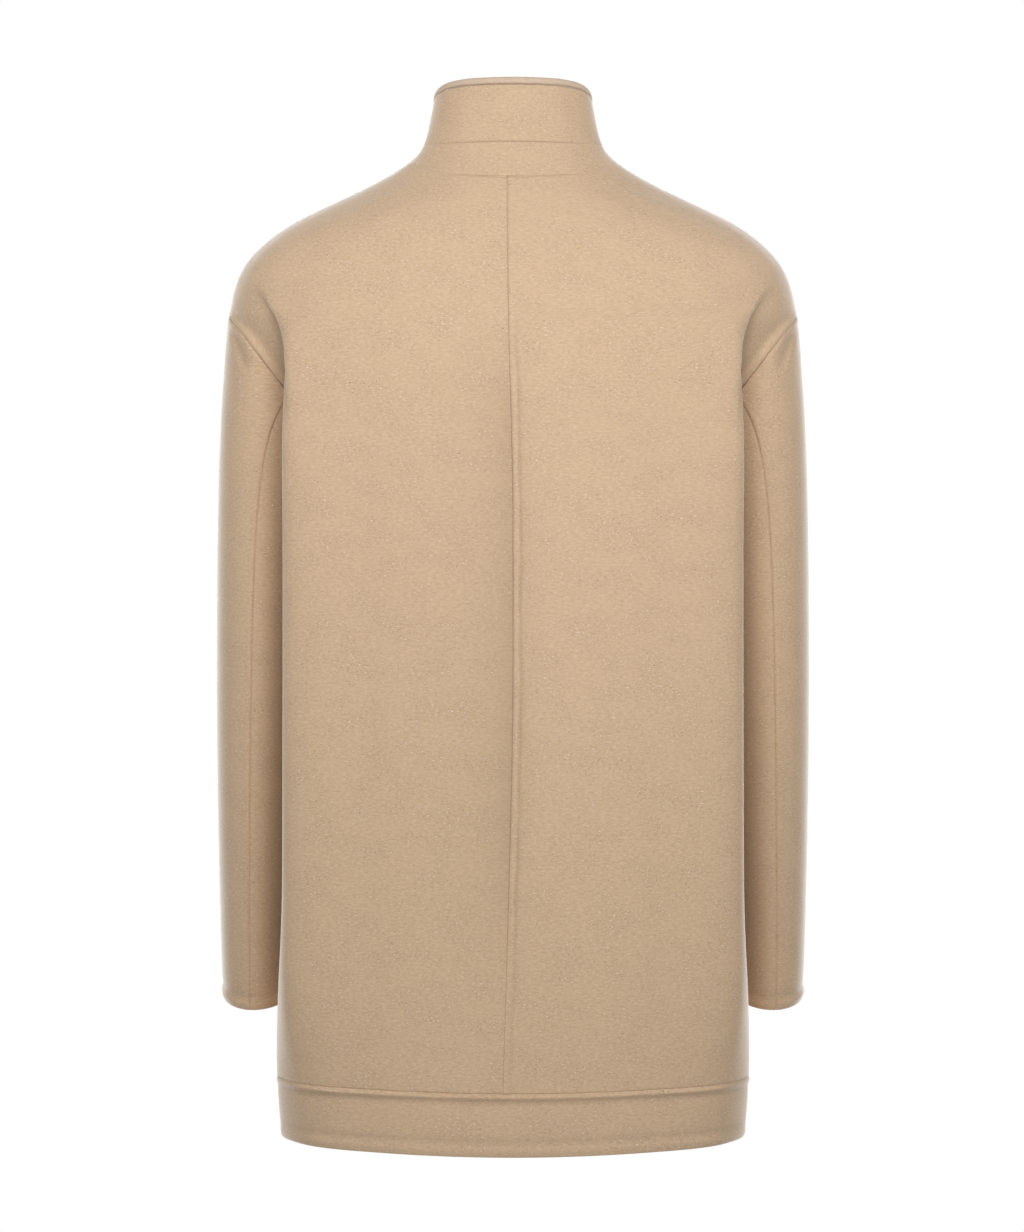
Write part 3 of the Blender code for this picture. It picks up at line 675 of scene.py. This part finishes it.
back_stations = stations_for(1, lambda length: spaced(length, fold=0.215))
for name, way in (("back_left", 1), ("back_right", -1)):
    base = between(back_half(way), BAND_SEAM, NECKLINE)
    from_centre, up, height = lengths(base, 1), lengths(base, 0), base[..., 2]
    fold, painted_shade = arm_fold(base)
    below_neck = up[-1:] - up
    relief = side_seams(base, base[:, -1]) + neck_seam(base, below_neck) + fold - 0.0003 * bump(up / 0.0006)
    pucker = PUCKER * np.sin(base[..., 0] * 190) * np.sin(base[..., 0] * 71 + 1)
    near_neck = smoothstep((NECK_LINE_REACH - np.abs(base[..., 0])) / NECK_LINE_FADE)
    near_neck *= bump((below_neck - NECK_LINE_AT - pucker) / NECK_LINE_WIDTH)
    relief -= 0.0004 * near_neck
    # painted shade: the fold's trough and the dip below the neckline darkened as if in shadow
    shade = 0.55 * painted_shade + 0.26 * near_neck
    grown = smoothstep((RIDGE_TOP - height) / RIDGE_GROWTH)
    valley = smoothstep((VALLEY_TOP - height) / VALLEY_GROWTH)
    valley *= smoothstep((height + VALLEY_END) / VALLEY_FADE)
    relief -= 0.0007 * (1 - grown) * bump(from_centre / 0.0008)
    # painted shade along the thin seam line above the ridge
    shade += 0.16 * (1 - grown) * bump(from_centre / 0.0009)
    if way > 0:
        relief -= VALLEY_DEPTH * valley * np.exp(-from_centre / VALLEY_WIDTH)
        # painted shade in the valley left of the seam, deepest at the seam
        shade += valley * (0.24 * np.exp(-from_centre / 0.014) + 0.13 * np.exp(-from_centre / 0.060))
    else:
        past = from_centre - RIDGE_WIDTH - 0.0004 * np.sin(height * 55) - 0.0003 * np.sin(height * 131 + 1)
        relief -= VALLEY_DEPTH * valley * np.exp(-from_centre / VALLEY_STEEP)
        relief += grown * RIDGE_HEIGHT * smoothstep((0.0016 - past) / 0.0032)
        relief -= grown * 0.0005 * bump((past - 0.0022) / 0.0024)
        # painted shade in the dip past the ridge's right side, and a broad one beside the seam
        uneven = 0.75 + 0.25 * np.sin(height * 83 + 2) * np.sin(height * 37)
        shade += (0.36 * valley * uneven + 0.10 * grown) * bump((past - 0.0010) / 0.0015)
        shade += 0.12 * valley * smoothstep(past / 0.003) * bump(from_centre / 0.016)
        base, relief, from_centre, shade = map(other_side, (base, relief, from_centre, shade))
    piece = cloth_piece(name + "_cloth", base, relief, wool, seam_away=from_centre, shade=shade)
    sewn_in(piece, base, name)


# Fronts
# Two halves of the same wool, which lap at the centre front, the right over the left. Their free edges
# are turned in and sewn down from inside. The neckline, shoulder, armhole, side and hem seams are as
# behind.

LAP = 0.025  # how far each front passes the centre front
LAP_EASE = 0.030  # length over which the under front sinks below the upper one
LAP_DEPTH = 0.0033  # how deep it sinks
# Creases: from one point to another, half width on each side, and height, below 0 for a trough
FRONT_FOLDS = table(
    "x1     z1      x2     z2      inside outside height",
    (0.165, -0.150, 0.150, -0.260, 0.012, 0.012, -0.0022),
    (0.110, -0.600, 0.100, -0.740, 0.016, 0.016, -0.0010),
)


def front_stations(outer, coarse):
    """For each level, stations from the edge to the centre and on to the end of the lap."""
    fine = np.linspace(0, 2, 161)
    across = form(-1, ROW_LEVELS, fine)[..., 0]
    lap = np.array([np.interp(LAP, row, fine) for row in across])[:, None]
    past = spaced(LAP, False, True, coarse)[1:] / LAP
    return np.concatenate([np.broadcast_to(outer, (len(lap), len(outer))), -lap * past], axis=1)


def front_half(outer, under, coarse=COARSE):
    """The left half of the front from the edge past the centre. The under one sinks below the other by a
    smooth step of the distance from the end of the lap."""
    grid = half(-1, front_stations(outer, coarse))
    if under:
        sink = LAP_DEPTH * smoothstep((LAP + LAP_EASE - grid[..., 0]) / LAP_EASE)
        grid = grid - normals(grid) * sink[..., None]
    return grid


front_outer = stations_for(-1, lambda length: spaced(length, False, True))[::-1]
for name, under in (("front_left", True), ("front_right", False)):
    base = between(front_half(front_outer, under), BAND_SEAM, NECKLINE)
    across = lengths(base, 1)
    from_lap = across[:, -1:] - across
    up = lengths(base, 0)
    relief = side_seams(base, base[:, 0]) + neck_seam(base, up[-1:] - up) + turned_edge(from_lap)
    relief += folds(base, FRONT_FOLDS) - 0.0006 * bump(up / 0.0007)
    if not under:
        base, relief, from_lap = map(other_side, (base, relief, from_lap))
    piece = cloth_piece(name + "_cloth", base, relief, wool, free=from_lap)
    sewn_in(piece, base, name)


# Sleeves
# Each sleeve is a tube of two pieces, an upper and an under one, sewn together along the back and the
# front of the arm and into the armhole. The cuff is turned in and sewn down from inside.

SLEEVE = table(
    "z       outer   inner   middle_y  half_y",
    (-0.705, 0.2408, 0.1850, -0.0560, 0.0590),
    (-0.656, 0.2423, 0.1835, -0.0500, 0.0600),
    (-0.558, 0.2439, 0.1790, -0.0380, 0.0630),
    (-0.450, 0.2445, 0.1740, -0.0275, 0.0660),
    (-0.361, 0.2439, 0.1700, -0.0210, 0.0675),
    (-0.262, 0.2422, 0.1630, -0.0160, 0.0680),
    (-0.180, 0.2390, 0.1560, -0.0135, 0.0670),
)
CUFF_Z = -0.689
CUFF_TILT = 0.008  # the cuff is this much lower behind and higher in front
SLEEVE_START = 0.16  # share of the sleeve over which it leaves the armhole's own outline
BACK_SEAM = (60, 96)  # angles of the sleeve's seams, at the armhole and at the cuff
FRONT_SEAM = (315, 310)
SEAM_BEND = 0.07  # share of the sleeve over which the seams swing round
SLEEVE_RADIUS = 0.055  # about, for the mesh spacing round the arm
SLEEVE_CALM = 0.04  # length over which the long seams' rolls grow below the underarm
CREASE_DEPTH = 0.0022
SLEEVE_FOLDS = table(
    "x1     z1      x2     z2      inside  outside height",
    (0.2285, -0.144, 0.2165, -0.176, 0.0055, 0.0016, -CREASE_DEPTH),
)
SEWING_AT, SEWING_WIDTH = 0.0125, 0.0030  # the line of painted shade in the dip along the sewing of a turned edge


def sleeve_panel(first_seam, last_seam):
    """A panel of the left sleeve from the cuff to the armhole: ovals with the table's sizes at each height,
    moved near the top so that the last row lies on the armhole."""
    width = np.radians(last_seam[0] - first_seam[0]) * SLEEVE_RADIUS
    angles = first_seam[0] + spaced(width) / width * (last_seam[0] - first_seam[0])
    swing = np.abs((angles + 180) % 360 - 180)
    behind = np.sin(np.radians(angles)) >= 0
    top = np.where(behind[:, None], armhole(swing, 1), armhole(swing, -1))
    reach = ARM_TOP[2] - CUFF_Z
    share = 1 - spaced(reach)[:, None] / reach
    bend = 1 - np.exp(-share / SEAM_BEND)
    start, end = (seam[0] + (seam[1] - seam[0]) * bend for seam in (first_seam, last_seam))
    around = np.radians(start + (end - start) * (angles - angles[0]) / (angles[-1] - angles[0]))
    height = top[:, 2] * (1 - share) + (CUFF_Z - CUFF_TILT * np.sin(around)) * share
    sizes = np.column_stack([SLEEVE[name] for name in ("outer", "inner", "middle_y", "half_y")])
    at = np.clip(height, SLEEVE["z"][0], SLEEVE["z"][-1])
    outer, inner, middle_y, half_y = through(sizes, SLEEVE["z"], at.ravel()).T.reshape(4, *height.shape)
    tube = np.stack([(outer + inner) / 2 - (outer - inner) / 2 * np.cos(around),
                     middle_y + half_y * np.sin(around), height], axis=-1)
    stay = np.clip(1 - share / SLEEVE_START, 0, 1)[..., None] ** 2
    tube[..., :2] += (top - tube[-1])[None, :, :2] * stay
    return tube


for part, first_seam, last_seam in (
        ("upper", BACK_SEAM, FRONT_SEAM),
        ("under", (FRONT_SEAM[0] - 360, FRONT_SEAM[1] - 360), BACK_SEAM)):
    base = sleeve_panel(first_seam, last_seam)
    across, up = lengths(base, 1), lengths(base, 0)
    sewn = from_ends(base)
    calm = smoothstep((UNDERARM[2] + UNDERARM_CALM - base[..., 2]) / SLEEVE_CALM)
    relief = seam_roll(sewn, ridge=0.0004 if part == "upper" else 0.0) * calm
    relief += side_seams(base, base[-1])
    creases = folds(base, SLEEVE_FOLDS) * smoothstep(base[..., 1] / 0.02)
    relief += creases + turned_edge(up)
    from_back = across if part == "upper" else across[:, -1:] - across
    # painted shade: darker in the crease, along the cuff's sewing, and along the back seam near the
    # underarm
    shade = 0.30 * np.clip(-creases / CREASE_DEPTH, 0, 1) ** 2
    shade += 0.16 * bump((up - SEWING_AT) / SEWING_WIDTH)
    shade += 0.5 * bump(from_back / 0.0012) * bump((base[..., 2] + 0.205) / 0.022)
    for side in ("left", "right"):
        name = f"sleeve_{side}_{part}"
        if side == "right":
            base, relief, up, shade = map(other_side, (base, relief, up, shade))
        piece = cloth_piece(name + "_cloth", base, relief, wool, free=up, shade=shade)
        sewn_in(piece, base, name)


# Collar
# A funnel collar of two strips of the same wool: a stand on the neckline and a higher strip sewn to it.
# Both run from the right front's lap, over the back, to the left front's.

RING_STEP, RING_ROWS = 0.0030, 0.0022  # between mesh columns round the neck, and between rows


def ring(first, last):
    """A strip round the whole neck: the upper front's mirror image, both halves of the back, and the
    under front."""
    outer = stations_for(-1, lambda length: spaced(length, False, False, RING_STEP))
    back = half(1, outer)
    parts = [other_side(front_half(outer[::-1], False, RING_STEP))[:, :-1], other_side(back)[:, :-1], back,
             front_half(outer[::-1], True, RING_STEP)[:, 1:]]
    return between(np.concatenate(parts, axis=1), first, last, coarse=RING_ROWS)


stand_base = ring(NECKLINE, COLLAR_SEAM)
low = lengths(stand_base, 0)
relief = neck_seam(stand_base, low) + neck_seam(stand_base, low[-1:] - low, 0.0007)
middle = smoothstep((0.062 - np.abs(stand_base[..., 0])) / 0.035) * (stand_base[..., 1] > 0)
# painted shade along the seam to the collar, strongest at the back
line = 0.5 * middle * bump((low[-1:] - low) / 0.0009)
stand = cloth_piece("collar_stand_cloth", stand_base, relief, wool, free=from_ends(stand_base), shade=line)
sewn_in(stand, stand_base, "collar_stand")

collar_base = ring(COLLAR_SEAM, COLLAR_EDGE)
low = lengths(collar_base, 0)
relief = neck_seam(collar_base, low, 0.0007) - 0.0010 * bump((low[-1:] - low) / 0.0006)
# painted shade in the groove under the collar's edging
painted_groove_shade = 0.9 * bump((low[-1:] - low) / 0.0009)
collar = cloth_piece("collar_cloth", collar_base, relief, wool, free=from_ends(collar_base), shade=painted_groove_shade)


# Collar edging
# A narrow smooth strip that binds the collar's top edge. It is folded over the edge and swells a little
# between its seam and its fold.

EDGING_DARK = (0.535, 0.408, 0.295)
EDGING_MIDDLE = (0.600, 0.473, 0.353)
EDGING_LIGHT = (0.666, 0.543, 0.427)
EDGING_SWELL = 0.0007
edging_cloth = cloth_material("collar_edging", EDGING_DARK, EDGING_MIDDLE, EDGING_LIGHT,
                              fleck=0.2, roughness=0.7, sheen=0.20, nap=0.12)
edging_base = ring(COLLAR_EDGE, COLLAR_TOP)
low = lengths(edging_base, 0)
relief = EDGING_SWELL * (1 - (2 * low / low[-1:] - 1) ** 2) - 0.0009 * bump(low / 0.0006)
edging = cloth_piece("collar_edging_cloth", edging_base, relief, edging_cloth,
                     free=np.minimum(from_ends(edging_base), low[-1:] - low))
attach(edging, "root")
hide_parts("collar_binding")
sewn_in(collar, collar_base, "collar")


# Hem band
# A band of the same wool sewn to the lower edge of the backs and the fronts, in one piece behind and two
# in front. Its top is turned in and stands up as a small roll below the seam, and its own edge is turned
# in.

BAND_CALM, BAND_CALM_REACH, BAND_CALM_FADE = 0.30, 0.176, 0.030  # its rolls are lower at the sides
ROLL_HEIGHT, ROLL_AT, ROLL_WIDTH = 0.0022, 0.0030, 0.0020  # the roll below the seam
DIP_DEPTH, DIP_AT, DIP_WIDTH = 0.0008, 0.0085, 0.0034  # the dip below the roll

back = back_half(0)
whole_back = np.concatenate([other_side(back)[:, :-1], back], axis=1)
for name, grid, mirrored, hangs_from in (
        ("hem_band_back", whole_back, False, ["back_left", "back_right"]),
        ("hem_band_front_left", front_half(front_outer, True), False, ["front_left"]),
        ("hem_band_front_right", front_half(front_outer, False), True, ["front_right"])):
    base = between(grid, HEM, BAND_SEAM)
    across, up = lengths(base, 1), lengths(base, 0)
    first, last, low, high = across, across[:, -1:] - across, up, up[-1:] - up
    sewn = np.minimum(first, last) if name == "hem_band_back" else first
    free = low if name == "hem_band_back" else np.minimum(low, last)
    inward = smoothstep((BAND_CALM_REACH - np.abs(base[..., 0])) / BAND_CALM_FADE)
    flat = BAND_CALM + (1 - BAND_CALM) * inward
    relief = seam_roll(sewn) * (1 - flat) + turned_edge(free) * flat - 0.0003 * bump(high / 0.0006)
    roll = ROLL_HEIGHT * bump((high - ROLL_AT) / ROLL_WIDTH)
    relief += flat * (roll - DIP_DEPTH * bump((high - DIP_AT) / DIP_WIDTH))
    # painted shade: in the dip below the roll, along the sewing of the edge, and along the seam at the
    # sides
    uneven = 0.8 + 0.2 * np.sin(base[..., 0] * 61 + 1) * np.sin(base[..., 0] * 23)
    shade = 0.26 * uneven * bump((high - 0.0068) / 0.0026)
    shade += 0.20 * bump((free - SEWING_AT) / SEWING_WIDTH)
    shade += 0.45 * (1 - flat) * bump((high - 0.0003) / 0.0009)
    if mirrored:
        base, relief, free, shade = map(other_side, (base, relief, free, shade))
    piece = cloth_piece(name + "_cloth", base, relief, wool, free=free, shade=shade)
    sewn_in(piece, base, name)


# Studio
# A white surround, a pale floor far below the hem, large soft lights and the camera behind the coat.

CAMERA_PLACE, CAMERA_LENS, CAMERA_WIDTH = (0.00082, 3.2, -0.374), 114.03, 36.0
FLOOR_Z, FLOOR_SIZE = -1.40, 5.0
COOL = (0.90, 0.95, 1.0)  # light thrown back by the white surround


def seen_or_shed(tree, shed, seen):
    """One shader for what the camera sees of the studio, and another for the light that the coat gets."""
    path = add_node(tree, "ShaderNodeLightPath")
    return add_node(tree, "ShaderNodeMixShader", {
        0: path.outputs["Is Camera Ray"], 1: shed.outputs[0], 2: seen.outputs[0]}).outputs[0]


scene = bpy.context.scene
scene.view_settings.view_transform = "Standard"
world = bpy.data.worlds.new("white_surround")
world.use_nodes = True
scene.world = world
tree = world.node_tree
tree.nodes.clear()
seen = add_node(tree, "ShaderNodeBackground", {"Color": (1, 1, 1, 1), "Strength": 1.0})
shed = add_node(tree, "ShaderNodeBackground", {"Color": (1.0, 0.99, 0.98, 1), "Strength": 0.27})
add_node(tree, "ShaderNodeOutputWorld", {"Surface": seen_or_shed(tree, shed, seen)})

floor_mesh = bpy.data.meshes.new("floor")
floor_corners = [(x * FLOOR_SIZE / 2, y * FLOOR_SIZE / 2, FLOOR_Z)
                 for x, y in ((-1, -1), (1, -1), (1, 1), (-1, 1))]
floor_mesh.from_pydata(floor_corners, [], [(0, 1, 2, 3)])
floor = bpy.data.objects.new("floor", floor_mesh)
paper = bpy.data.materials.new("pale_paper")
paper.use_nodes = True
tree = paper.node_tree
matt = tree.nodes["Principled BSDF"]
matt.inputs["Base Color"].default_value = (0.86, 0.86, 0.85, 1)
matt.inputs["Roughness"].default_value = 0.9
glow = add_node(tree, "ShaderNodeEmission", {"Color": (1, 1, 1, 1), "Strength": 0.80})
lit = add_node(tree, "ShaderNodeAddShader", {0: matt.outputs[0], 1: glow.outputs[0]})
tree.links.new(seen_or_shed(tree, matt, lit), tree.nodes["Material Output"].inputs["Surface"])
floor_mesh.materials.append(paper)
scene.collection.objects.link(floor)


def softbox(name, place, aim, size, power, colour=(1, 1, 1)):
    """A large square light at a place, which faces a point."""
    light = bpy.data.lights.new(name, "AREA")
    light.shape, light.size, light.energy, light.color = "SQUARE", size, power, colour
    lamp = bpy.data.objects.new(name, light)
    lamp.location = place
    lamp.rotation_euler = (Vector(aim) - Vector(place)).to_track_quat("-Z", "Y").to_euler()
    lamp.visible_camera = False
    scene.collection.objects.link(lamp)


softbox("near_left_light", (0.29, 1.33, 0.24), (0, 0.1, -0.24), 0.55, 7.5)
softbox("near_right_light", (-0.29, 1.33, 0.24), (0, 0.1, -0.24), 0.55, 9.0)
softbox("shoulder_left_light", (1.35, -0.33, 0.45), (0, 0, 0), 0.6, 6.0)
softbox("shoulder_right_light", (-1.35, -0.33, 0.45), (0, 0, 0), 0.6, 5.2)
softbox("backdrop_glow", (0, -1.6, -0.3), (0, 0, -0.3), 3.0, 34, COOL)
softbox("low_left_light", (1.0, -1.4, -1.1), (0.2, 0, -0.7), 0.5, 9, COOL)
softbox("low_right_light", (-1.0, -1.4, -1.1), (-0.2, 0, -0.7), 0.5, 9, COOL)

camera = bpy.data.objects.new("camera", bpy.data.cameras.new("camera"))
camera.data.lens, camera.data.sensor_width = CAMERA_LENS, CAMERA_WIDTH
camera.location = CAMERA_PLACE
camera.rotation_euler = (np.radians(90), 0, np.radians(180))
scene.collection.objects.link(camera)
scene.camera = camera
